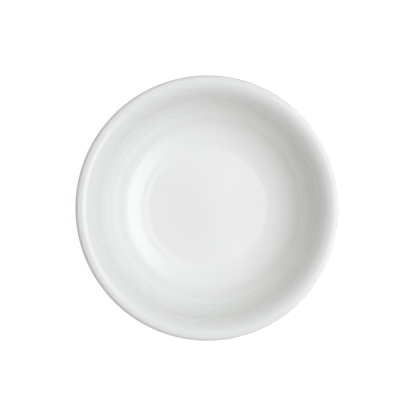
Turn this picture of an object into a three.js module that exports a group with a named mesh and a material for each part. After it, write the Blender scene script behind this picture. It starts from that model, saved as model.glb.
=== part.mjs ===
// A shallow laboratory evaporating dish in glazed hard porcelain, without a pouring lip.
// The dish is one fired piece of two materials: the biscuit body, and the glaze fused over it.
// The glaze covers the inside, the rim and the outside, and stops on the side of the foot.
// Everything is a solid of revolution about Z; millimetres, +Z up, origin on the table
// under the centre of the foot ring.
import * as THREE from "three";

// Finished sizes, measured over the glaze.
const RIM_DIAMETER = 100;
const HEIGHT = 28;
const WALL = 3.0;
const FLOOR = 3.5;
const WALL_SLOPE = 84; // degrees above the horizontal, inside and outside
const KNEE_RADIUS = 16.6; // inside, from the eased edge of the floor up into the wall
const EASE_RADIUS = 28; // inside, from the flat floor into the knee
const EASE_SLOPE = 14; // degrees, where the ease meets the knee
const FLARE_RADIUS = 6.2; // inside, where the wall leans out to the rim
const CROWN_RADIUS = 3.9; // inner half of the rim's top
const CROWN_SLOPE = 20; // degrees, where the flare meets the crown
const BROW_RADIUS = 5.0; // outer half of the rim's top
const BROW_SLOPE = 10; // degrees outwards, where the brow meets the lip
const LIP_RADIUS = 1.75; // outer edge of the rim, from the brow down to its widest point
const LIP_UNDER_RADIUS = 1.6; // from the widest point in under the rim
const LIP_TUCK = 80; // degrees that the lip turns in, past its widest point

// The foot ring and the bare recess inside it.
const FOOT_RADIUS = 27;
const FOOT_WIDTH = 2.8;
const FOOT_EDGE = 0.5; // rounding of the two standing edges
const RECESS = 2.0; // height of the recess above the table
const RECESS_FILLET = 0.8;
const FOOT_FILLET = 1.2; // outside, from the foot into the wall

// The coat of glaze.
const GLAZE = 0.35; // how far the glazed surface stands off the biscuit
const BOND_GAP = 0.05; // left open between the two solids, where the real ones are fused
const GLAZE_LINE = 1.2; // height above the table where the glaze stops

// Facets round the axis, and steps along each round stretch of the outline.
const SEGMENTS = 60;
const STEPS = { crown: 2, flare: 5, knee: 7, ease: 2, brow: 1, lip: 4, hollow: 4, fillet: 3, edge: 2 };

const radians = THREE.MathUtils.degToRad;
const degrees = THREE.MathUtils.radToDeg;
const sin = (angle) => Math.sin(radians(angle));
const cos = (angle) => Math.cos(radians(angle));

// An outline is a list of samples: a point (r, z) and the unit normal (nr, nz) that leaves
// the material there. The angles are those of the normal, from +r towards +z.
function sample(r, z, angle) {
  return { r, z, nr: cos(angle), nz: sin(angle) };
}

// A round stretch about (r, z). A negative radius is a hollow, whose normals face its centre.
function arc(r, z, radius, from, to, steps) {
  const samples = [];
  for (let i = 0; i <= steps; i += 1) {
    const angle = from + ((to - from) * i) / steps;
    samples.push(sample(r + radius * cos(angle), z + radius * sin(angle), angle));
  }
  return samples;
}

// The outline moved off itself along its normals. Where it meets the axis it stays there.
function offset(outline, distance) {
  return outline.map((s) => ({
    ...s,
    r: Math.max(0, s.r + s.nr * distance),
    z: s.z + s.nz * distance,
  }));
}

// Radius of the rim's highest circle, and the height of its widest one.
function rimLayout() {
  return {
    rimR: RIM_DIAMETER / 2 - LIP_RADIUS * (1 - sin(BROW_SLOPE)) - BROW_RADIUS * sin(BROW_SLOPE),
    lipZ: HEIGHT - BROW_RADIUS * (1 - cos(BROW_SLOPE)) - LIP_RADIUS * cos(BROW_SLOPE),
  };
}

// Where the straight wall ends inside, the centre that the inside and the outside of the knee
// share, and the radius of the flat floor. The wall is as long as the depth leaves it.
function wallLayout() {
  const topR =
    rimLayout().rimR - CROWN_RADIUS * sin(CROWN_SLOPE) -
    FLARE_RADIUS * (sin(WALL_SLOPE) - sin(CROWN_SLOPE));
  const topZ =
    HEIGHT - CROWN_RADIUS * (1 - cos(CROWN_SLOPE)) -
    FLARE_RADIUS * (cos(CROWN_SLOPE) - cos(WALL_SLOPE));
  const kneeZ =
    RECESS + FLOOR + EASE_RADIUS * (1 - cos(EASE_SLOPE)) + KNEE_RADIUS * cos(EASE_SLOPE);
  const footZ = kneeZ - KNEE_RADIUS * cos(WALL_SLOPE);
  const footR = topR - (topZ - footZ) / Math.tan(radians(WALL_SLOPE));
  const kneeR = footR - KNEE_RADIUS * sin(WALL_SLOPE);
  return { topR, topZ, kneeR, kneeZ, floorR: kneeR - (EASE_RADIUS - KNEE_RADIUS) * sin(EASE_SLOPE) };
}

// The inside of the finished dish, from the top of the rim to the axis.
function insideOutline() {
  const { kneeR, kneeZ, floorR } = wallLayout();
  const { rimR } = rimLayout();
  const floorZ = RECESS + FLOOR;
  const crownZ = HEIGHT - CROWN_RADIUS;
  const flareR = rimR + (FLARE_RADIUS - CROWN_RADIUS) * sin(CROWN_SLOPE);
  const flareZ = crownZ - (FLARE_RADIUS - CROWN_RADIUS) * cos(CROWN_SLOPE);
  const crown = 90 + CROWN_SLOPE;
  const wall = 90 + WALL_SLOPE;
  const ease = 90 + EASE_SLOPE;
  return [
    ...arc(rimR, crownZ, CROWN_RADIUS, 90, crown, STEPS.crown),
    ...arc(flareR, flareZ, FLARE_RADIUS, crown, wall, STEPS.flare).slice(1),
    ...arc(kneeR, kneeZ, -KNEE_RADIUS, wall, ease, STEPS.knee),
    ...arc(floorR, floorZ + EASE_RADIUS, -EASE_RADIUS, ease, 90, STEPS.ease).slice(1),
    sample(0, floorZ, 90),
  ];
}

// The outside of the finished dish, from the glaze line on the foot to the top of the rim.
function outsideOutline() {
  const { topR, topZ, kneeR, kneeZ } = wallLayout();
  const { rimR, lipZ } = rimLayout();
  const wall = WALL_SLOPE - 90;
  const brow = 90 - BROW_SLOPE;
  const kneeRadius = KNEE_RADIUS + WALL;
  const filletR = FOOT_RADIUS + FOOT_FILLET;
  const filletZ = kneeZ - Math.sqrt((kneeRadius + FOOT_FILLET) ** 2 - (filletR - kneeR) ** 2);
  const kneeStart = degrees(Math.atan2(filletZ - kneeZ, filletR - kneeR));

  // The hollow under the rim is tangent to the lip and to the outside of the wall.
  const underR = RIM_DIAMETER / 2 - LIP_UNDER_RADIUS;
  const lipToWall =
    (underR - topR) * cos(wall) + (lipZ - topZ) * sin(wall) - WALL;
  const turn = cos(LIP_TUCK + wall);
  const hollow = (lipToWall + LIP_UNDER_RADIUS * turn) / (1 - turn);
  const hollowR = underR + (LIP_UNDER_RADIUS + hollow) * cos(-LIP_TUCK);
  const hollowZ = lipZ + (LIP_UNDER_RADIUS + hollow) * sin(-LIP_TUCK);
  return [
    sample(FOOT_RADIUS, GLAZE_LINE, 0),
    ...arc(filletR, filletZ, -FOOT_FILLET, 0, kneeStart, STEPS.fillet),
    ...arc(kneeR, kneeZ, kneeRadius, kneeStart, wall, STEPS.knee).slice(1),
    ...arc(hollowR, hollowZ, -hollow, wall, -LIP_TUCK, STEPS.hollow),
    ...arc(underR, lipZ, LIP_UNDER_RADIUS, -LIP_TUCK, 0, STEPS.lip).slice(1),
    ...arc(RIM_DIAMETER / 2 - LIP_RADIUS, lipZ, LIP_RADIUS, 0, brow, STEPS.lip).slice(1),
    ...arc(rimR, HEIGHT - BROW_RADIUS, BROW_RADIUS, brow, 90, STEPS.brow).slice(1),
  ];
}

// The bare foot, from the axis to the height of the glaze line.
function footOutline() {
  const outer = FOOT_RADIUS - GLAZE;
  const inner = outer - FOOT_WIDTH;
  const filletZ = RECESS - RECESS_FILLET;
  return [
    sample(0, RECESS, -90),
    ...arc(inner - RECESS_FILLET, filletZ, -RECESS_FILLET, -90, -180, STEPS.fillet),
    ...arc(inner + FOOT_EDGE, FOOT_EDGE, FOOT_EDGE, 180, 270, STEPS.edge),
    ...arc(outer - FOOT_EDGE, FOOT_EDGE, FOOT_EDGE, -90, 0, STEPS.edge),
  ];
}

function turned(outline, material, name) {
  const points = outline.map((s) => new THREE.Vector2(s.r, s.z));
  const geometry = new THREE.LatheGeometry(points, SEGMENTS);
  geometry.rotateX(Math.PI / 2);
  const mesh = new THREE.Mesh(geometry, material);
  mesh.name = name;
  return mesh;
}

const biscuit = new THREE.MeshStandardMaterial({ color: 0xe6e1d6, roughness: 0.85, metalness: 0 });
const glaze = new THREE.MeshStandardMaterial({ color: 0xeceeed, roughness: 0.08, metalness: 0 });

const finished = [...outsideOutline(), ...insideOutline().slice(1)];

const dish = new THREE.Group();
dish.add(
  turned([...footOutline(), ...offset(finished, -GLAZE)], biscuit, "porcelain_body"),
  turned([...offset(finished, BOND_GAP - GLAZE).reverse(), ...finished], glaze, "glaze_coat"),
);

export default dish;
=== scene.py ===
"""A shallow evaporating dish in glazed porcelain: turned body, fired glaze and stage."""

import math
from collections import namedtuple

import bmesh
import bpy
from bpy.props import FloatProperty, FloatVectorProperty, IntProperty, PointerProperty
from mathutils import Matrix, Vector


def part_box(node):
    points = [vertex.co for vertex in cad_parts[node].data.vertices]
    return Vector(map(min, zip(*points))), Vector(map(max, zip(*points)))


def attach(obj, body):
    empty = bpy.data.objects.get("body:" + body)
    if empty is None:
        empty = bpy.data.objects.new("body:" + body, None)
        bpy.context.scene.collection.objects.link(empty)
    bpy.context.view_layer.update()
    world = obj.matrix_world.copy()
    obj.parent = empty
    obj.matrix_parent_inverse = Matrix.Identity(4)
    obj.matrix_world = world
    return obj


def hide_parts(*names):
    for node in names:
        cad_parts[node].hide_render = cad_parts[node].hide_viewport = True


bl_info = {
    "name": "Evaporating Dish",
    "version": (1, 0, 0),
    "blender": (4, 5, 0),
    "location": "View3D > Sidebar > Dish",
    "description": "Turns a porcelain dish, glazes it and sets it on a pale studio floor",
    "category": "Object",
}

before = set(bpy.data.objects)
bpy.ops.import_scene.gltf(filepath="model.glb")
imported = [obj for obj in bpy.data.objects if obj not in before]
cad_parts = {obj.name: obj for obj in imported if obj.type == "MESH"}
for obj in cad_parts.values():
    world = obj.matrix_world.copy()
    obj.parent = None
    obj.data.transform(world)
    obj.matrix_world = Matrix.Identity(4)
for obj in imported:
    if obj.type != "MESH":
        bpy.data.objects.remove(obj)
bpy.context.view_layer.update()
GLAZE_LOW, GLAZE_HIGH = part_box("glaze_coat")
BODY_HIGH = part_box("porcelain_body")[1]

MM = 0.001
TOUCHING = 1e-7  # metres; points closer than this are the same point


# ---------------------------------------------------------------- sizes and finishes


def length(name, description, default):
    return FloatProperty(
        name=name,
        description=description,
        default=default,
        min=0.0,
        precision=5,
        subtype="DISTANCE",
        unit="LENGTH",
    )


def slope(name, description, degrees):
    return FloatProperty(
        name=name,
        description=description,
        default=math.radians(degrees),
        subtype="ANGLE",
        unit="ROTATION",
    )


def amount(name, description, default, least=0.0, **more):
    return FloatProperty(name=name, description=description, default=default, min=least, **more)


def share(name, description, default):
    return FloatProperty(
        name=name,
        description=description,
        default=default,
        min=0.0,
        max=1.0,
        precision=4,
        subtype="FACTOR",
    )


def colour(name, description, default):
    return FloatVectorProperty(
        name=name,
        description=description,
        default=default,
        size=3,
        min=0.0,
        max=1.0,
        subtype="COLOR",
    )


class DishForm(bpy.types.PropertyGroup):
    """The dish's own sizes, over the glaze."""

    rim_radius: length("Rim radius", "From the axis to the edge of the lip", GLAZE_HIGH.x)
    height: length("Height", "From the table to the top of the rim", GLAZE_HIGH.z)
    wall: length("Wall", "Thickness of the wall", 3.0 * MM)
    floor: length("Floor", "Thickness of the floor over the recess", 3.5 * MM)
    wall_slope: slope("Wall slope", "Lean of the straight part of the wall", 84)
    knee_radius: length("Knee radius", "Inside curve from the ease into the wall", 16.6 * MM)
    ease_radius: length("Ease radius", "Inside curve from the flat floor into the knee", 28 * MM)
    ease_slope: slope("Ease slope", "Where the ease meets the knee", 14)
    flare_radius: length("Flare radius", "Inside curve where the wall leans out", 6.2 * MM)
    crown_radius: length("Crown radius", "Inner half of the rim's top", 3.9 * MM)
    crown_slope: slope("Crown slope", "Where the flare meets the crown", 20)
    brow_radius: length("Brow radius", "Outer half of the rim's top", 5 * MM)
    brow_slope: slope("Brow slope", "Where the brow meets the lip", 10)
    lip_radius: length("Lip radius", "Upper half of the rim's outer edge", 1.75 * MM)
    under_radius: length("Under radius", "Lower half of the rim's outer edge", 1.6 * MM)
    lip_tuck: slope("Lip tuck", "How far the lip turns in underneath", 80)
    foot_radius: length("Foot radius", "Outside of the foot ring", 27 * MM)
    foot_width: length("Foot width", "Width of the foot ring", 2.8 * MM)
    foot_edge: length("Foot edge", "Rounding of the standing edges", 0.5 * MM)
    foot_fillet: length("Foot fillet", "Curve from the foot into the wall", 1.2 * MM)
    recess: length("Recess", "Height of the recess in the foot", 2.0 * MM)
    recess_fillet: length("Recess fillet", "Curve from the foot into the recess", 0.8 * MM)
    glaze: length("Glaze", "How far the glaze stands off the biscuit", GLAZE_HIGH.x - BODY_HIGH.x)
    bond_gap: length("Bond gap", "Left open between glaze and biscuit", 0.05 * MM)
    glaze_line: length("Glaze line", "Height at which the glaze stops", GLAZE_LOW.z)


class WheelMarks(bpy.types.PropertyGroup):
    """What the wheel, the blade and the kiln left in the shape."""

    rounds: IntProperty(name="Rounds", description="Facets round the axis", default=208, min=16)
    ovality: share("Ovality", "How much narrower the fired rim is along X", 0.005)
    waver_depth: length("Waver depth", "Slow unevenness of the glazed surface", 0.05 * MM)
    waver_size: length("Waver size", "Width of one swell", 22 * MM)
    blade_depth: length("Blade depth", "Spiral groove left inside by the blade", 0.006 * MM)
    blade_pitch: length("Blade pitch", "Advance of the blade in one turn", 1.7 * MM)
    ring_radii: FloatVectorProperty(
        name="Ring radii",
        description="Where the blade paused and left a ring",
        default=(36.95 * MM, 38.9 * MM, 44.1 * MM),
        size=3,
        subtype="NONE",
        unit="LENGTH",
    )
    ring_depth: length("Ring depth", "Depth of those rings", 0.04 * MM)
    ring_width: length("Ring width", "Half width of those rings", 0.3 * MM)
    ring_wander: length("Ring wander", "How far the glaze in the rings runs aside", 0.35 * MM)
    tool_depth: length("Tool depth", "Spiral groove turned into the bare foot", 0.04 * MM)
    tool_pitch: length("Tool pitch", "Advance of the turning tool", 0.9 * MM)
    edge_drop: length("Edge drop", "How far the glaze line wanders up the foot", 0.18 * MM)
    edge_reach: length("Edge reach", "How much of the glaze's edge wanders with it", 0.9 * MM)
    seed: IntProperty(name="Seed", description="Which dish of the batch this is", default=7)


class DishFinish(bpy.types.PropertyGroup):
    """Colours and gloss."""

    glaze_colour: colour("Glaze colour", "White of the glazed body", (0.90, 0.90, 0.90))
    glaze_shade: colour("Glaze shade", "The same where the glaze is thicker", (0.885, 0.892, 0.89))
    # Painted light: the next three set a lighter belt round the steepest part of the inside wall,
    # which lifts the shade that falls there.
    painted_light_colour: colour("Painted light colour", "White where the glaze is thin", (0.95, 0.947, 0.94))
    painted_light_height: length("Painted light height", "Middle of that thin belt", 21.9 * MM)
    painted_light_reach: length("Painted light reach", "Where the belt ends, above and below", 3.4 * MM)
    rim_colour: colour("Rim colour", "White of the glazed rim", (0.888, 0.892, 0.90))
    ring_colour: colour("Ring colour", "White of the glaze in the rings", (0.97, 0.97, 0.97))
    ring_strength: share("Ring strength", "How much of that white shows", 0.6)
    glaze_roughness: share("Glaze roughness", "Polish of the glaze", 0.06)
    glaze_index: amount("Glaze index", "Refractive index of the glaze", 1.5, least=1.0)
    biscuit_colour: colour("Biscuit colour", "Bare fired clay", (0.80, 0.775, 0.72))
    biscuit_shade: colour("Biscuit shade", "Bare clay where it is soiled", (0.62, 0.59, 0.53))
    biscuit_roughness: share("Biscuit roughness", "Dullness of the bare clay", 0.82)
    biscuit_index: amount("Biscuit index", "Refractive index of the bare clay", 1.45, least=1.0)
    speck_colour: colour("Speck colour", "Iron specks burnt into the clay", (0.32, 0.27, 0.22))


class StudioSet(bpy.types.PropertyGroup):
    """The floor, the light and the camera."""

    rim_share: share("Rim share", "Share of the picture's width that the rim takes", 0.6382)
    lens: amount("Lens", "Focal length", 100.0, least=1.0, subtype="DISTANCE_CAMERA")
    shift: share("Shift", "How far the dish stands off the picture's middle", 0.0011)
    floor_colour: colour("Floor colour", "Pale studio floor", (0.4, 0.4, 0.4))
    floor_glow: amount("Floor glow", "Light of the floor as the lens sees it", 0.8)
    floor_shine: amount("Floor shine", "Light of the floor's bright side on the dish", 1.5)
    shine_start: length("Shine start", "Where the bright side starts, along X", 58 * MM)
    shine_full: length("Shine full", "Where it reaches its full light", 95 * MM)


# ---------------------------------------------------------------- the outline of the dish

# A station is a point of the outline with the direction that leaves the material there, as
# an angle from outwards (0) towards upwards (90 degrees).
Station = namedtuple("Station", "radius height facing")


def sweep(radius, height, curve, start, end, spacing):
    """Stations along a round stretch about (radius, height). A negative curve is a hollow."""
    steps = max(2, math.ceil(abs(curve * (end - start)) / spacing))
    stations = []
    for step in range(steps + 1):
        facing = start + (end - start) * step / steps
        across, up = curve * math.cos(facing), curve * math.sin(facing)
        stations.append(Station(radius + across, height + up, facing))
    return stations


def run(first, last, spacing):
    """Stations along a straight stretch, without its first one."""
    across, up = last.radius - first.radius, last.height - first.height
    steps = max(1, math.ceil(math.hypot(across, up) / spacing))
    stations = []
    for step in range(1, steps + 1):
        part = step / steps
        station = Station(first.radius + across * part, first.height + up * part, last.facing)
        stations.append(station)
    return stations


def chained(stretches, spacing):
    """One outline out of several, with straight runs between their ends."""
    stations = list(stretches[0])
    for stretch in stretches[1:]:
        if math.dist(stations[-1][:2], stretch[0][:2]) > TOUCHING:
            stations += run(stations[-1], stretch[0], spacing)
        stations += stretch[1:]
    return stations


def offset(stations, distance):
    """The outline moved off itself, and kept at or outside the axis."""
    return [
        Station(
            max(0.0, s.radius + math.cos(s.facing) * distance),
            s.height + math.sin(s.facing) * distance,
            s.facing,
        )
        for s in stations
    ]


def rim_layout(form):
    """Radius of the rim's highest circle, and the height of its widest one."""
    lean = form.brow_slope
    lip, brow = form.lip_radius, form.brow_radius
    return (
        form.rim_radius - lip * (1 - math.sin(lean)) - brow * math.sin(lean),
        form.height - brow * (1 - math.cos(lean)) - lip * math.cos(lean),
    )


def wall_layout(form):
    """The wall's upper end inside, the centre of the knee and the radius of the flat floor."""
    lean, crown = form.wall_slope, form.crown_slope
    top_radius = (
        rim_layout(form)[0]
        - form.crown_radius * math.sin(crown)
        - form.flare_radius * (math.sin(lean) - math.sin(crown))
    )
    top_height = (
        form.height
        - form.crown_radius * (1 - math.cos(crown))
        - form.flare_radius * (math.cos(crown) - math.cos(lean))
    )
    ease_rise = form.ease_radius * (1 - math.cos(form.ease_slope))
    floor_height = form.recess + form.floor
    knee_height = floor_height + ease_rise + form.knee_radius * math.cos(form.ease_slope)
    foot_height = knee_height - form.knee_radius * math.cos(lean)
    foot_radius = top_radius - (top_height - foot_height) / math.tan(lean)
    knee_radius = foot_radius - form.knee_radius * math.sin(lean)
    flat_radius = knee_radius - (form.ease_radius - form.knee_radius) * math.sin(form.ease_slope)
    return (top_radius, top_height), (knee_radius, knee_height), flat_radius


def inside_outline(form, spacing):
    """From the top of the rim down the inside to the axis."""
    quarter = math.pi / 2
    _, (knee_radius, knee_height), flat_radius = wall_layout(form)
    lean, crown = quarter + form.wall_slope, quarter + form.crown_slope
    ease = quarter + form.ease_slope
    rim = rim_layout(form)[0]
    crown_height = form.height - form.crown_radius
    setback = form.flare_radius - form.crown_radius
    flare_radius = rim + setback * math.sin(form.crown_slope)
    flare_height = crown_height - setback * math.cos(form.crown_slope)
    floor_height = form.recess + form.floor
    ease_height = floor_height + form.ease_radius
    stretches = [
        sweep(rim, crown_height, form.crown_radius, quarter, crown, spacing),
        sweep(flare_radius, flare_height, form.flare_radius, crown, lean, spacing),
        sweep(knee_radius, knee_height, -form.knee_radius, lean, ease, spacing),
        sweep(flat_radius, ease_height, -form.ease_radius, ease, quarter, spacing),
        [Station(0.0, floor_height, quarter)],
    ]
    return chained(stretches, spacing)


def outside_outline(form, spacing):
    """From the glaze line on the foot up the outside to the top of the rim."""
    (top_radius, top_height), (knee_radius, knee_height), _ = wall_layout(form)
    lean = form.wall_slope - math.pi / 2
    knee = form.knee_radius + form.wall
    fillet_radius = form.foot_radius + form.foot_fillet
    across = fillet_radius - knee_radius
    fillet_height = knee_height - math.sqrt((knee + form.foot_fillet) ** 2 - across**2)
    knee_start = math.atan2(fillet_height - knee_height, across)

    # The hollow under the rim is tangent to the lip and to the outside of the wall.
    rim, lip_height = rim_layout(form)
    under = form.rim_radius - form.under_radius
    to_wall = (
        (under - top_radius) * math.cos(lean)
        + (lip_height - top_height) * math.sin(lean)
        - form.wall
    )
    turn = math.cos(form.lip_tuck + lean)
    hollow = (to_wall + form.under_radius * turn) / (1 - turn)
    reach = form.under_radius + hollow
    hollow_radius = under + reach * math.cos(form.lip_tuck)
    hollow_height = lip_height - reach * math.sin(form.lip_tuck)
    lip = form.rim_radius - form.lip_radius
    brow = math.pi / 2 - form.brow_slope
    brow_height = form.height - form.brow_radius
    stretches = [
        [Station(form.foot_radius, form.glaze_line, 0.0)],
        sweep(fillet_radius, fillet_height, -form.foot_fillet, 0.0, knee_start, spacing),
        sweep(knee_radius, knee_height, knee, knee_start, lean, spacing),
        sweep(hollow_radius, hollow_height, -hollow, lean, -form.lip_tuck, spacing),
        sweep(under, lip_height, form.under_radius, -form.lip_tuck, 0.0, spacing),
        sweep(lip, lip_height, form.lip_radius, 0.0, brow, spacing),
        sweep(rim, brow_height, form.brow_radius, brow, math.pi / 2, spacing),
    ]
    return chained(stretches, spacing)


def foot_outline(form, spacing):
    """The bare foot, from the axis to the glaze line."""
    quarter = math.pi / 2
    outer = form.foot_radius - form.glaze
    inner = outer - form.foot_width
    fillet_height = form.recess - form.recess_fillet
    hollow_radius = inner - form.recess_fillet
    edge = form.foot_edge
    stretches = [
        [Station(0.0, form.recess, -quarter)],
        sweep(hollow_radius, fillet_height, -form.recess_fillet, -quarter, -math.pi, spacing),
        sweep(inner + edge, edge, edge, -math.pi, -quarter, spacing),
        sweep(outer - edge, edge, edge, -quarter, 0.0, spacing),
    ]
    return chained(stretches, spacing)


def finished_outline(form, spacing):
    """The glazed surface, from the glaze line to the middle of the floor."""
    return outside_outline(form, spacing) + inside_outline(form, spacing)[1:]


def outline_object(name, stretches):
    """A line of stations for the turning tree.

    Each stretch is (stations, shown, bowl): how much of the relief it takes, and how much of
    the rings inside the bowl.
    """
    stations = [s for stretch, _, _ in stretches for s in stretch]
    shown = [weight for stretch, weight, _ in stretches for _ in stretch]
    bowl = [weight for stretch, _, weight in stretches for _ in stretch]
    mesh = bpy.data.meshes.new(name)
    edges = [(i, i + 1) for i in range(len(stations) - 1)]
    mesh.from_pydata([(s.radius, 0.0, s.height) for s in stations], edges, [])
    leaving = mesh.attributes.new("leaving", "FLOAT_VECTOR", "POINT")
    for item, station in zip(leaving.data, stations):
        item.vector = (math.cos(station.facing), 0.0, math.sin(station.facing))
    mesh.attributes.new("shown", "FLOAT", "POINT").data.foreach_set("value", shown)
    mesh.attributes.new("bowl", "FLOAT", "POINT").data.foreach_set("value", bowl)
    made = bpy.data.objects.new(name, mesh)
    bpy.context.scene.collection.objects.link(made)
    return made


# ---------------------------------------------------------------- node trees


class Tray:
    """Puts nodes into one tree and joins them up."""

    def __init__(self, tree):
        self.tree = tree
        self.placed = 0

    def put(self, kind, feeds=None, **settings):
        """A new node. feeds gives its inputs, by name or number, a value or another socket."""
        node = self.tree.nodes.new(kind)
        node.location = (self.placed % 12 * 190, -(self.placed // 12) * 260)
        self.placed += 1
        for key, value in settings.items():
            setattr(node, key, value)
        for key, value in (feeds or {}).items():
            self.feed(node.inputs[key], value)
        return node

    def feed(self, socket, value):
        if isinstance(value, bpy.types.NodeSocket):
            self.tree.links.new(value, socket)
        else:
            socket.default_value = value

    def sum(self, operation, *terms):
        """A Math node's result."""
        return self.put("ShaderNodeMath", dict(enumerate(terms)), operation=operation).outputs[0]

    def ramp(self, value, low, high, to_low=0.0, to_high=1.0):
        """The value moved smoothly from one range to another, and held at its ends."""
        feeds = {0: value, 1: low, 2: high, 3: to_low, 4: to_high}
        node = self.put("ShaderNodeMapRange", feeds, interpolation_type="SMOOTHSTEP")
        return node.outputs[0]

    def peak(self, value, middle, reach, flat=0.0):
        """1 up to flat away from the middle, and down smoothly to 0 at reach."""
        away = self.sum("ABSOLUTE", self.sum("SUBTRACT", value, middle))
        return self.ramp(away, flat, reach, 1.0, 0.0)

    def parts(self, vector):
        """The three components of a vector."""
        return self.put("ShaderNodeSeparateXYZ", {0: vector}).outputs

    def vector(self, x, y, z=0.0):
        """A vector out of its components."""
        return self.put("ShaderNodeCombineXYZ", {0: x, 1: y, 2: z}).outputs[0]

    def length(self, vector):
        feeds = {0: vector}
        return self.put("ShaderNodeVectorMath", feeds, operation="LENGTH").outputs["Value"]

    def attribute(self, name, kind="FLOAT"):
        """An attribute of the line of stations."""
        feeds = {"Name": name}
        return self.put("GeometryNodeInputNamedAttribute", feeds, data_type=kind).outputs[0]

    def noise(self, place, size, detail=2.0, seed=0.0):
        """Cloudy noise from 0 to 1 whose swells are about size across."""
        joined = isinstance(size, bpy.types.NodeSocket)
        scale = self.sum("DIVIDE", 1.0, size) if joined else 1 / size
        feeds = {"Vector": place, "W": seed, "Scale": scale, "Detail": detail}
        node = self.put("ShaderNodeTexNoise", feeds, noise_dimensions="4D")
        return node.outputs[0]


TURNING_INPUTS = (
    ("Rounds", "NodeSocketInt"),
    ("Ovality", "NodeSocketFloat"),
    ("Waver Depth", "NodeSocketFloat"),
    ("Waver Size", "NodeSocketFloat"),
    ("Groove Depth", "NodeSocketFloat"),
    ("Groove Pitch", "NodeSocketFloat"),
    ("Ring Radii", "NodeSocketVector"),
    ("Ring Depth", "NodeSocketFloat"),
    ("Ring Width", "NodeSocketFloat"),
    ("Edge Height", "NodeSocketFloat"),
    ("Edge Drop", "NodeSocketFloat"),
    ("Edge Reach", "NodeSocketFloat"),
    ("Seed", "NodeSocketFloat"),
    ("Material", "NodeSocketMaterial"),
)


def turning_relief(tray, given, radius, turn, surface):
    """How far the turned surface lies under its outline: swells, the groove and the rings."""
    shown, bowl = tray.attribute("shown"), tray.attribute("bowl")

    swell = tray.noise(surface, given["Waver Size"], 1.0, given["Seed"])
    swells = tray.sum("MULTIPLY", swell, given["Waver Depth"])

    # The groove is a true spiral, and it fades out at the axis, where its turns would meet.
    winding = tray.sum("DIVIDE", turn, math.tau)
    advance = tray.sum("DIVIDE", radius, given["Groove Pitch"])
    phase = tray.sum("MULTIPLY", tray.sum("SUBTRACT", advance, winding), math.tau)
    wave = tray.sum("MULTIPLY_ADD", tray.sum("COSINE", phase), 0.5, 0.5)
    uneven = tray.noise(surface, 6 * MM, 1.0, given["Seed"])
    off_axis = tray.ramp(radius, 0.5 * MM, 3 * MM)
    depth = tray.sum("MULTIPLY", given["Groove Depth"], off_axis)
    groove = tray.sum("MULTIPLY", tray.sum("MULTIPLY", wave, uneven), depth)

    rings = 0.0
    for ring in tray.parts(given["Ring Radii"]):
        rings = tray.sum("ADD", rings, tray.peak(radius, ring, given["Ring Width"]))
    rings = tray.sum("MULTIPLY", tray.sum("MULTIPLY", rings, given["Ring Depth"]), bowl)

    relief = tray.sum("MULTIPLY", tray.sum("ADD", swells, groove), shown)
    return tray.sum("ADD", relief, rings)


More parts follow.
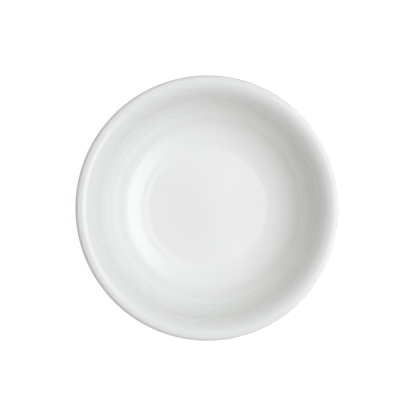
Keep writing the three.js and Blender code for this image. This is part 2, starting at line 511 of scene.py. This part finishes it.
def turning_tree():
    """Geometry nodes that turn a line of stations round Z into a closed solid."""
    tree = bpy.data.node_groups.new("turned_form", "GeometryNodeTree")
    tree.interface.new_socket("Geometry", in_out="INPUT", socket_type="NodeSocketGeometry")
    for name, kind in TURNING_INPUTS:
        tree.interface.new_socket(name, in_out="INPUT", socket_type=kind)
    tree.interface.new_socket("Geometry", in_out="OUTPUT", socket_type="NodeSocketGeometry")
    tray = Tray(tree)
    given = tray.put("NodeGroupInput").outputs

    line = tray.put("GeometryNodeMeshToCurve", {0: given["Geometry"]}).outputs[0]
    here = tray.put("GeometryNodeInputPosition").outputs[0]
    outline = tray.put("GeometryNodeCaptureAttribute", {0: line})
    outline.capture_items.new("VECTOR", "Place")
    tray.feed(outline.inputs["Place"], here)

    circle = tray.put("GeometryNodeCurvePrimitiveCircle", {"Resolution": given["Rounds"]})
    step = tray.sum("DIVIDE", tray.put("GeometryNodeInputIndex").outputs[0], given["Rounds"])
    wheel = tray.put("GeometryNodeCaptureAttribute", {0: circle.outputs[0]})
    wheel.capture_items.new("FLOAT", "Turn")
    tray.feed(wheel.inputs["Turn"], tray.sum("MULTIPLY", step, math.tau))

    feeds = {"Curve": wheel.outputs[0], "Profile Curve": outline.outputs[0]}
    skin = tray.put("GeometryNodeCurveToMesh", feeds).outputs[0]

    place, turn = outline.outputs["Place"], wheel.outputs["Turn"]
    radius, _, height = tray.parts(place)
    cosine, sine = tray.sum("COSINE", turn), tray.sum("SINE", turn)

    def round_the_axis(r, z):
        return tray.vector(tray.sum("MULTIPLY", r, cosine), tray.sum("MULTIPLY", r, sine), z)

    surface = round_the_axis(radius, height)
    outwards, _, upwards = tray.parts(tray.attribute("leaving", "FLOAT_VECTOR"))
    inset = tray.sum("MULTIPLY", turning_relief(tray, given, radius, turn, surface), -1.0)
    lowered_radius = tray.sum("MULTIPLY_ADD", outwards, inset, radius)
    lowered_height = tray.sum("MULTIPLY_ADD", upwards, inset, height)

    # The glaze line wanders: what is close to it moves up by a slow noise round the foot.
    rise = tray.sum("SUBTRACT", height, given["Edge Height"])
    near_edge = tray.ramp(rise, 0.0, given["Edge Reach"], 1.0, 0.0)
    wander = tray.noise(surface, 5 * MM, 2.0, given["Seed"])
    lift = tray.sum("MULTIPLY", tray.sum("MULTIPLY", near_edge, wander), given["Edge Drop"])
    lowered_height = tray.sum("ADD", lowered_height, lift)

    oval = tray.vector(tray.sum("SUBTRACT", 1.0, given["Ovality"]), 1.0, 1.0)
    feeds = {0: round_the_axis(lowered_radius, lowered_height), 1: oval}
    settled = tray.put("ShaderNodeVectorMath", feeds, operation="MULTIPLY").outputs[0]

    placed = tray.put("GeometryNodeSetPosition", {"Geometry": skin, "Position": settled})
    closed = tray.put("GeometryNodeMergeByDistance", {0: placed.outputs[0], "Distance": TOUCHING})
    smooth = tray.put("GeometryNodeSetShadeSmooth", {0: closed.outputs[0], "Shade Smooth": True})
    real = tray.put("GeometryNodeRealizeInstances", {0: smooth.outputs[0]})
    feeds = {"Geometry": real.outputs[0], "Material": given["Material"]}
    coated = tray.put("GeometryNodeSetMaterial", feeds)
    tray.put("NodeGroupOutput", {0: coated.outputs[0]})
    return tree


def turn_on_the_wheel(piece, values):
    """Runs the turning tree on a line of stations and keeps the result as a plain mesh."""
    tree = bpy.data.node_groups.get("turned_form") or turning_tree()
    wheel = piece.modifiers.new("wheel", "NODES")
    wheel.node_group = tree
    for item in tree.interface.items_tree:
        if item.in_out == "INPUT" and item.name in values:
            wheel[item.identifier] = values[item.name]
    piece.update_tag()
    depsgraph = bpy.context.evaluated_depsgraph_get()
    solid = bpy.data.meshes.new_from_object(piece.evaluated_get(depsgraph))
    piece.modifiers.clear()
    piece.data = solid
    solid.name = piece.name
    face_outwards(piece)


def face_outwards(piece):
    """Turns the faces round if they look inwards, and refuses a surface that isn't closed."""
    shell = bmesh.new()
    shell.from_mesh(piece.data)
    if any(not edge.is_manifold for edge in shell.edges):
        shell.free()
        raise RuntimeError(f"{piece.name} isn't closed")
    if shell.calc_volume(signed=True) < 0:
        bmesh.ops.reverse_faces(shell, faces=shell.faces)
    shell.to_mesh(piece.data)
    shell.free()


# ---------------------------------------------------------------- materials


def new_material(name):
    """A material with its tray, its shader and its object coordinates."""
    material = bpy.data.materials.new(name)
    material.use_nodes = True
    tray = Tray(material.node_tree)
    shader = material.node_tree.nodes["Principled BSDF"]
    place = tray.put("ShaderNodeTexCoord").outputs["Object"]
    return material, tray, shader, place


def mix_colours(tray, part, first, second):
    """Two colours mixed by a part from 0 to 1."""
    feeds = {"Factor": part, 6: first, 7: second}
    return tray.put("ShaderNodeMix", feeds, data_type="RGBA").outputs[2]


def solid(rgb):
    return (*rgb, 1.0)


def specks(tray, place, size, spacing, share_of_cells):
    """1 on small specks scattered over the surface, one at most in each cell."""
    feeds = {"Vector": place, "Scale": 1 / spacing, "Randomness": 1.0}
    cells = tray.put("ShaderNodeTexVoronoi", feeds)
    chosen = tray.put("ShaderNodeSeparateXYZ", {0: cells.outputs["Color"]})
    kept = tray.sum("LESS_THAN", chosen.outputs[0], share_of_cells)
    reach = tray.sum("MULTIPLY", chosen.outputs[1], size / spacing)
    away = tray.sum("SUBTRACT", cells.outputs["Distance"], reach)
    dot = tray.ramp(away, -0.3 * size / spacing, 0.0, 1.0, 0.0)
    return tray.sum("MULTIPLY", dot, kept)


def ring_lines(tray, place, marks):
    """How much a point lies in the rings that the blade left inside, from 0 to 1."""
    x, y, _ = tray.parts(place)
    radius = tray.length(tray.vector(tray.sum("DIVIDE", x, 1.0 - marks.ovality), y))
    run = tray.noise(place, 15 * MM, detail=1.0, seed=5.0)
    aside = tray.sum("MULTIPLY_ADD", run, 2 * marks.ring_wander, -marks.ring_wander)
    radius = tray.sum("ADD", radius, aside)
    lines = 0.0
    for ring in marks.ring_radii:
        lines = tray.sum("ADD", lines, tray.peak(radius, ring, marks.ring_width))
    return lines


def glaze_white(tray, place, finish, marks):
    """The white under the glaze: mottled, clearest in the rings, and lighter on the shoulder, where
    painted light lifts the shade of the steep wall.
    """
    clouds = tray.noise(place, 16 * MM, detail=3.0, seed=1.0)
    mottle = tray.noise(place, 2.2 * MM, detail=3.0, seed=2.0)
    thick = tray.sum("MULTIPLY_ADD", mottle, 0.35, tray.sum("MULTIPLY", clouds, 0.65))
    thick = tray.ramp(thick, 0.35, 0.65)
    height = tray.parts(place)[2]
    # Painted light: a lighter belt round the steep shoulder of the wall, lifting the shade that
    # falls there.
    painted_light_belt = tray.peak(height, finish.painted_light_height, finish.painted_light_reach, flat=0.6 * MM)
    rim = tray.ramp(height, finish.painted_light_height + 3 * MM, finish.painted_light_height + 5 * MM)
    rings = tray.sum("MULTIPLY", ring_lines(tray, place, marks), finish.ring_strength)
    specked = specks(tray, place, size=0.16 * MM, spacing=5.5 * MM, share_of_cells=0.22)
    iron = tray.sum("MULTIPLY", specked, 0.45)
    white = solid(finish.glaze_colour)
    for part, tone in (
        (thick, finish.glaze_shade),
        (painted_light_belt, finish.painted_light_colour),
        (rim, finish.rim_colour),
        (rings, finish.ring_colour),
        (iron, finish.speck_colour),
    ):
        white = mix_colours(tray, part, white, solid(tone))
    return white


def scratches(tray, place):
    """Fine rings from stirring rods, more on the floor than up the wall."""
    rubbed = tray.ramp(tray.length(place), 10 * MM, 34 * MM, 1.0, 0.25)
    feeds = {"Vector": place, "Scale": 60.0, "Distortion": 9.0, "Detail": 3.0, "Detail Scale": 2.0}
    rings = {"wave_type": "RINGS", "rings_direction": "Z"}
    streak = tray.put("ShaderNodeTexWave", feeds, **rings).outputs["Fac"]
    return tray.sum("MULTIPLY", tray.ramp(streak, 0.86, 1.0), rubbed)


def glaze_material(finish, marks):
    """Clear glaze over white clay: mottled white, iron specks, orange peel, fine scratches."""
    material, tray, shader, place = new_material("glazed_porcelain")
    tray.feed(shader.inputs["Base Color"], glaze_white(tray, place, finish, marks))

    polish = finish.glaze_roughness
    haze = tray.noise(place, 7 * MM, detail=2.0, seed=3.0)
    roughness = tray.ramp(haze, 0.3, 0.7, 0.75 * polish, 1.3 * polish)
    roughness = tray.sum("MULTIPLY_ADD", scratches(tray, place), 0.03, roughness)
    tray.feed(shader.inputs["Roughness"], roughness)
    shader.inputs["IOR"].default_value = finish.glaze_index

    peel = tray.noise(place, 1.1 * MM, detail=1.0, seed=4.0)
    pits = specks(tray, place, size=0.14 * MM, spacing=3.1 * MM, share_of_cells=0.3)
    skin = tray.sum("SUBTRACT", peel, tray.sum("MULTIPLY", pits, 1.5))
    bump = tray.put("ShaderNodeBump", {"Strength": 0.25, "Distance": 0.012 * MM, "Height": skin})
    tray.feed(shader.inputs["Normal"], bump.outputs[0])
    return material


def biscuit_material(finish):
    """Bare fired clay: dull and grainy, soiled where it stands on the bench."""
    material, tray, shader, place = new_material("bare_porcelain")
    stain = tray.noise(place, 6 * MM, detail=5.0, seed=5.0)
    grain = tray.noise(place, 0.35 * MM, detail=3.0, seed=6.0)
    standing = tray.ramp(tray.parts(place)[2], 0.1 * MM, 0.7 * MM, 1.0, 0.0)
    soiled = tray.sum("MULTIPLY", standing, tray.ramp(stain, 0.38, 0.6, 0.25, 0.9))
    part = tray.sum("MULTIPLY_ADD", tray.ramp(stain, 0.45, 0.7), 0.22, soiled)
    part = tray.sum("MINIMUM", part, 1.0)
    clay = mix_colours(tray, part, solid(finish.biscuit_colour), solid(finish.biscuit_shade))
    specked = specks(tray, place, size=0.2 * MM, spacing=2.6 * MM, share_of_cells=0.35)
    iron = tray.sum("MULTIPLY", specked, 0.7)
    clay = mix_colours(tray, iron, clay, solid(finish.speck_colour))
    tray.feed(shader.inputs["Base Color"], clay)

    dull = finish.biscuit_roughness
    roughness = tray.ramp(grain, 0.3, 0.7, dull - 0.08, dull + 0.1)
    roughness = tray.sum("MULTIPLY_ADD", soiled, -0.22, roughness)
    tray.feed(shader.inputs["Roughness"], roughness)
    shader.inputs["IOR"].default_value = finish.biscuit_index

    bump = tray.put("ShaderNodeBump", {"Strength": 0.6, "Distance": 0.05 * MM, "Height": grain})
    tray.feed(shader.inputs["Normal"], bump.outputs[0])
    return material


def floor_material(studio):
    """A pale matt floor. The lens sees all of it bright, the dish only its side towards +X."""
    material = bpy.data.materials.new("studio_floor")
    material.use_nodes = True
    material.node_tree.nodes.clear()
    tray = Tray(material.node_tree)
    matt = tray.put("ShaderNodeBsdfDiffuse", {"Color": solid(studio.floor_colour)}).outputs[0]
    seen = tray.put("ShaderNodeLightPath").outputs["Is Camera Ray"]
    across = tray.parts(tray.put("ShaderNodeTexCoord").outputs["Object"])[0]
    shine = tray.ramp(across, studio.shine_start, studio.shine_full, 0.0, studio.floor_shine)
    strength = tray.ramp(seen, 0.0, 1.0, shine, studio.floor_glow)
    glow = tray.put("ShaderNodeEmission", {"Strength": strength}).outputs[0]
    both = tray.put("ShaderNodeAddShader", {0: matt, 1: glow}).outputs[0]
    tray.put("ShaderNodeOutputMaterial", {"Surface": both})
    return material


# ---------------------------------------------------------------- the studio

# A soft panel on the studio's dome. Its azimuth is its middle round the dish from +X, and near
# and far are its ends as angles from overhead, all in degrees. The blurs are half the width of
# its soft edges. A flag has a negative radiance: it takes light away.
Panel = namedtuple(
    "Panel", "azimuth half_width side_blur near near_blur far far_blur radiance tint"
)

ALL_ROUND = 400  # a half width past the whole turn, so that no edge shows
OVERHEAD = -20  # a near end on the far side of the top, so that the panel covers it
WARM = (1.07, 1.00, 0.87)
COOL = (0.89, 1.035, 1.095)
PINK = (1.00, 0.965, 1.12)
WHITE = (0.98, 1.04, 0.98)
BACKDROP = (1.0, 1.0, 1.0, 1.0)
FLOOR_RADIUS = 6.0  # metres, wide enough to reach the horizon in every view

PANELS = {
    "dome": Panel(0, ALL_ROUND, 1, OVERHEAD, 5, 61.4, 5.0, 0.44, WARM),
    "side sheet": Panel(18, 125, 39, 6.0, 0.6, 46, 5.4, 0.64, COOL),
    "softbox": Panel(3, 50, 20, 12.2, 0.5, 41.4, 3.6, 1.56, PINK),
    "softbox lamp": Panel(-3, 25.5, 19, 20, 4.3, 35.6, 6.5, 0.74, WHITE),
    "low strip": Panel(14.5, 118, 21, 66.2, 4.3, 77.7, 4.5, 1.21, WHITE),
    "ceiling": Panel(13, 96, 50, OVERHEAD, 5, 4.6, 1.5, 1.59, WHITE),
    "dark flag": Panel(150, 52, 12, 2.25, 0.15, 2.85, 0.15, -0.4, WHITE),
}


def panel_light(tray, zenith, azimuth, panel):
    """The light of one panel towards each direction, as a colour."""
    sides = panel.side_blur
    near = tray.ramp(zenith, panel.near - panel.near_blur, panel.near + panel.near_blur)
    far = tray.ramp(zenith, panel.far - panel.far_blur, panel.far + panel.far_blur, 1.0, 0.0)
    aside = tray.sum("WRAP", tray.sum("SUBTRACT", azimuth, float(panel.azimuth)), 180.0, -180.0)
    wide = tray.peak(aside, 0.0, panel.half_width + sides, flat=panel.half_width - sides)
    strength = tray.sum("MULTIPLY", tray.sum("MULTIPLY", near, far), wide)
    feeds = {0: panel.tint, "Scale": tray.sum("MULTIPLY", strength, panel.radiance)}
    return tray.put("ShaderNodeVectorMath", feeds, operation="SCALE").outputs[0]


def studio_world():
    """Soft panels on a dome round the dish. The lens itself sees a plain white backdrop."""
    world = bpy.data.worlds.new("studio")
    world.use_nodes = True
    world.node_tree.nodes.clear()
    tray = Tray(world.node_tree)
    direction = tray.put("ShaderNodeTexCoord").outputs["Generated"]
    x, y, z = tray.parts(direction)
    level = tray.sum("MAXIMUM", tray.sum("MINIMUM", z, 1.0), -1.0)
    zenith = tray.sum("DEGREES", tray.sum("ARCCOSINE", level))
    azimuth = tray.sum("DEGREES", tray.sum("ARCTAN2", y, x))
    total = (0.0, 0.0, 0.0)
    for panel in PANELS.values():
        feeds = {0: total, 1: panel_light(tray, zenith, azimuth, panel)}
        total = tray.put("ShaderNodeVectorMath", feeds, operation="ADD").outputs[0]
    seen = tray.put("ShaderNodeLightPath").outputs["Is Camera Ray"]
    shown = mix_colours(tray, seen, total, BACKDROP)
    light = tray.put("ShaderNodeBackground", {"Color": shown}).outputs[0]
    tray.put("ShaderNodeOutputWorld", {"Surface": light})
    return world


def studio_floor(studio):
    """A round floor under the dish."""
    mesh = bpy.data.meshes.new("studio_floor")
    disc = bmesh.new()
    bmesh.ops.create_circle(disc, cap_ends=True, segments=96, radius=FLOOR_RADIUS)
    disc.to_mesh(mesh)
    disc.free()
    mesh.materials.append(floor_material(studio))
    made = bpy.data.objects.new("studio_floor", mesh)
    bpy.context.scene.collection.objects.link(made)
    return made


def overhead_camera(form, studio):
    """Straight above the dish, as far away as the rim's share of the picture asks."""
    data = bpy.data.cameras.new("overhead")
    data.lens = studio.lens
    data.shift_x = studio.shift
    data.clip_start = 10 * MM
    half_width = data.sensor_width / 2 / data.lens
    lip_height = rim_layout(form)[1]
    camera = bpy.data.objects.new("overhead", data)
    camera.location = (0, 0, lip_height + form.rim_radius / studio.rim_share / half_width)
    bpy.context.scene.collection.objects.link(camera)
    bpy.context.scene.camera = camera


# ---------------------------------------------------------------- operators


# How far apart the stations lie along each stretch of an outline.
BARE_SPACING = 0.13 * MM
COVERED_SPACING = 1.2 * MM
OUTSIDE_SPACING = 0.4 * MM
INSIDE_SPACING = 0.28 * MM
FUSED_SPACING = 1.5 * MM


class DISH_OT_turn_body(bpy.types.Operator):
    """Turn the porcelain body, with its bare foot"""

    bl_idname = "dish.turn_body"
    bl_label = "Turn the body"
    bl_options = {"REGISTER", "UNDO"}

    def execute(self, context):
        scene = context.scene
        form, marks = scene.dish_form, scene.dish_marks
        bare = foot_outline(form, BARE_SPACING)
        covered = offset(finished_outline(form, COVERED_SPACING), -form.glaze)
        piece = outline_object("turned_body", [(bare, 1.0, 0.0), (covered, 0.0, 0.0)])
        turn_on_the_wheel(
            piece,
            {
                "Rounds": marks.rounds,
                "Ovality": marks.ovality,
                "Waver Depth": 0.0,
                "Waver Size": marks.waver_size,
                "Groove Depth": marks.tool_depth,
                "Groove Pitch": marks.tool_pitch,
                "Ring Width": marks.ring_width,
                "Seed": float(marks.seed),
                "Material": biscuit_material(scene.dish_finish),
            },
        )
        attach(piece, "root")
        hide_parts("porcelain_body")
        return {"FINISHED"}


class DISH_OT_fire_glaze(bpy.types.Operator):
    """Coat the body with its glaze, down to the glaze line on the foot"""

    bl_idname = "dish.fire_glaze"
    bl_label = "Fire the glaze"
    bl_options = {"REGISTER", "UNDO"}

    def execute(self, context):
        scene = context.scene
        form, marks = scene.dish_form, scene.dish_marks
        outside = outside_outline(form, OUTSIDE_SPACING)
        inside = inside_outline(form, INSIDE_SPACING)[1:]
        fused = offset(finished_outline(form, FUSED_SPACING), form.bond_gap - form.glaze)
        fused.reverse()
        piece = outline_object(
            "fired_glaze", [(fused, 0.0, 0.0), (outside, 1.0, 0.0), (inside, 1.0, 1.0)]
        )
        turn_on_the_wheel(
            piece,
            {
                "Rounds": marks.rounds,
                "Ovality": marks.ovality,
                "Waver Depth": marks.waver_depth,
                "Waver Size": marks.waver_size,
                "Groove Depth": marks.blade_depth,
                "Groove Pitch": marks.blade_pitch,
                "Ring Radii": marks.ring_radii,
                "Ring Depth": marks.ring_depth,
                "Ring Width": marks.ring_width,
                "Edge Height": form.glaze_line,
                "Edge Drop": marks.edge_drop,
                "Edge Reach": marks.edge_reach,
                "Seed": float(marks.seed),
                "Material": glaze_material(scene.dish_finish, marks),
            },
        )
        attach(piece, "root")
        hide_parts("glaze_coat")
        return {"FINISHED"}


class DISH_OT_set_stage(bpy.types.Operator):
    """Lay the floor, hang the soft panels and set the camera overhead"""

    bl_idname = "dish.set_stage"
    bl_label = "Set the stage"
    bl_options = {"REGISTER", "UNDO"}

    def execute(self, context):
        scene = context.scene
        studio_floor(scene.dish_studio)
        scene.world = studio_world()
        scene.view_settings.view_transform = "Standard"
        overhead_camera(scene.dish_form, scene.dish_studio)
        return {"FINISHED"}


class DISH_PT_panel(bpy.types.Panel):
    """The dish's sizes, marks and finishes, and the steps that make it"""

    bl_label = "Evaporating Dish"
    bl_idname = "DISH_PT_panel"
    bl_space_type = "VIEW_3D"
    bl_region_type = "UI"
    bl_category = "Dish"

    def draw(self, context):
        scene = context.scene
        for group in (scene.dish_form, scene.dish_marks, scene.dish_finish, scene.dish_studio):
            box = self.layout.box()
            for name in group.__annotations__:
                box.prop(group, name)
        for operator in STEPS:
            self.layout.operator(operator.bl_idname)


STEPS = (DISH_OT_turn_body, DISH_OT_fire_glaze, DISH_OT_set_stage)
GROUPS = {
    "dish_form": DishForm,
    "dish_marks": WheelMarks,
    "dish_finish": DishFinish,
    "dish_studio": StudioSet,
}


def register():
    for made in (*GROUPS.values(), *STEPS, DISH_PT_panel):
        bpy.utils.register_class(made)
    for name, group in GROUPS.items():
        setattr(bpy.types.Scene, name, PointerProperty(type=group))


def unregister():
    for name in GROUPS:
        delattr(bpy.types.Scene, name)
    for made in reversed((*GROUPS.values(), *STEPS, DISH_PT_panel)):
        bpy.utils.unregister_class(made)


def main():
    register()
    bpy.ops.dish.turn_body()
    bpy.ops.dish.fire_glaze()
    bpy.ops.dish.set_stage()


if __name__ == "__main__":
    main()
